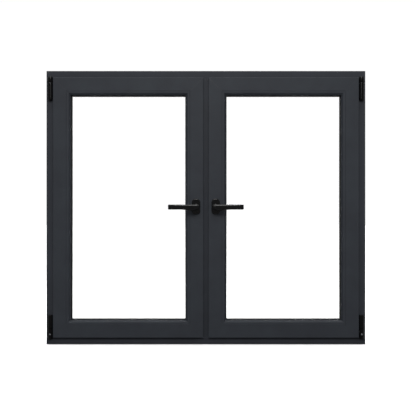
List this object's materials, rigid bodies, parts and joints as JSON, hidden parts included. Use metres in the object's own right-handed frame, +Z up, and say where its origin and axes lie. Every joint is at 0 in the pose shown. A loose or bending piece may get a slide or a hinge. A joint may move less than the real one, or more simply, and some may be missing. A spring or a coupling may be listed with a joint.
{
  "type": "casement window",
  "caption": "Tilt-and-turn casement window: two inward-opening glazed sashes with lever handles in one frame with a fixed mullion.",
  "frame": {"origin": "centre of the frame's bottom face, at half the frame's depth", "axes": "+X to the right seen from the room, +Y out towards the weather, +Z up; the handles are on the -Y side"},
  "size_m": [1.4, 0.144, 1.2],
  "materials": {
    "frame_foil": "fine matt anthracite foil on PVC-U",
    "sash_foil": "fine matt anthracite foil on PVC-U",
    "hardware_black": "satin black powder coat",
    "steel": "zinc plated",
    "glass": "clear float glass",
    "seal_rubber": "black EPDM",
    "spacer": "black warm-edge",
    "packer": "moulded polypropylene"
  },
  "bodies": {
    "frame": {"frame_head": "frame_foil", "frame_sill": "frame_foil", "frame_jamb_left": "frame_foil", "frame_jamb_right": "frame_foil", "mullion": "frame_foil", "drain_covers": "frame_foil", "frame_steel": "steel", "mullion_cleats": "packer", "frame_seal": "seal_rubber", "keeps": "steel", "pivot_rest_left": "hardware_black", "stay_bearing_left": "hardware_black", "stay_pin_left": "steel", "pivot_rest_right": "hardware_black", "stay_bearing_right": "hardware_black", "stay_pin_right": "steel"},
    "swivel_left": {"pivot_swivel_left": "steel"},
    "sash_left": {"sash_lock_stile_left": "sash_foil", "sash_hinge_stile_left": "sash_foil", "sash_top_rail_left": "sash_foil", "sash_bottom_rail_left": "sash_foil", "glazing_beads_left": "sash_foil", "pane_inner_left": "glass", "pane_outer_left": "glass", "glass_spacer_left": "spacer", "glazing_seal_left": "seal_rubber", "glazing_blocks_left": "packer", "sash_seal_left": "seal_rubber", "sash_steel_left": "steel", "lock_faceplate_left": "steel", "lock_gearbox_left": "steel", "corner_hinge_left": "hardware_black", "handle_rosette_left": "hardware_black", "handle_screws_left": "steel"},
    "stay_left": {"stay_arm_left": "steel"},
    "handle_left": {"handle_lever_left": "hardware_black", "handle_spindle_left": "steel"},
    "rod_left": {"drive_rod_left": "steel"},
    "swivel_right": {"pivot_swivel_right": "steel"},
    "sash_right": {"sash_lock_stile_right": "sash_foil", "sash_hinge_stile_right": "sash_foil", "sash_top_rail_right": "sash_foil", "sash_bottom_rail_right": "sash_foil", "glazing_beads_right": "sash_foil", "pane_inner_right": "glass", "pane_outer_right": "glass", "glass_spacer_right": "spacer", "glazing_seal_right": "seal_rubber", "glazing_blocks_right": "packer", "sash_seal_right": "seal_rubber", "sash_steel_right": "steel", "lock_faceplate_right": "steel", "lock_gearbox_right": "steel", "corner_hinge_right": "hardware_black", "handle_rosette_right": "hardware_black", "handle_screws_right": "steel"},
    "stay_right": {"stay_arm_right": "steel"},
    "handle_right": {"handle_lever_right": "hardware_black", "handle_spindle_right": "steel"},
    "rod_right": {"drive_rod_right": "steel"}
  },
  "joints": [
    {"name": "swing_left", "type": "hinge", "parent": "frame", "child": "swivel_left", "pos_m": [-0.6815, -0.047, 0.042], "axis": [0, 0, -1], "range_deg": [0, 90]},
    {"name": "tilt_left", "type": "hinge", "parent": "swivel_left", "child": "sash_left", "pos_m": [-0.6815, -0.047, 0.042], "axis": [-1, 0, 0], "range_deg": [-7, 0]},
    {"name": "stay_turn_left", "type": "hinge", "parent": "swivel_left", "child": "stay_left", "pos_m": [-0.6815, -0.047, 1.155], "axis": [0, 0, 1], "range_deg": [-30, 0]},
    {"name": "handle_turn_left", "type": "hinge", "parent": "sash_left", "child": "handle_left", "pos_m": [-0.043, -0.091, 0.605], "axis": [0, -1, 0], "range_deg": [-90, 90]},
    {"name": "rod_slide_left", "type": "slide", "parent": "sash_left", "child": "rod_left", "axis": [0, 0, 1], "range_m": [-0.01801, 0.01801]},
    {"name": "swing_right", "type": "hinge", "parent": "frame", "child": "swivel_right", "pos_m": [0.6815, -0.047, 0.042], "axis": [0, 0, 1], "range_deg": [0, 90]},
    {"name": "tilt_right", "type": "hinge", "parent": "swivel_right", "child": "sash_right", "pos_m": [0.6815, -0.047, 0.042], "axis": [-1, 0, 0], "range_deg": [-7, 0]},
    {"name": "stay_turn_right", "type": "hinge", "parent": "swivel_right", "child": "stay_right", "pos_m": [0.6815, -0.047, 1.155], "axis": [0, 0, -1], "range_deg": [-30, 0]},
    {"name": "handle_turn_right", "type": "hinge", "parent": "sash_right", "child": "handle_right", "pos_m": [0.043, -0.091, 0.605], "axis": [0, 1, 0], "range_deg": [-90, 90]},
    {"name": "rod_slide_right", "type": "slide", "parent": "sash_right", "child": "rod_right", "axis": [0, 0, 1], "range_m": [-0.01801, 0.01801]}
  ],
  "couplings": [
    {"joint": "stay_turn_left", "follows": "tilt_left", "ratio": 4.2857},
    {"joint": "rod_slide_left", "follows": "handle_turn_left", "m_per_rad": 0.011459},
    {"joint": "stay_turn_right", "follows": "tilt_right", "ratio": 4.2857},
    {"joint": "rod_slide_right", "follows": "handle_turn_right", "m_per_rad": 0.011459}
  ]
}
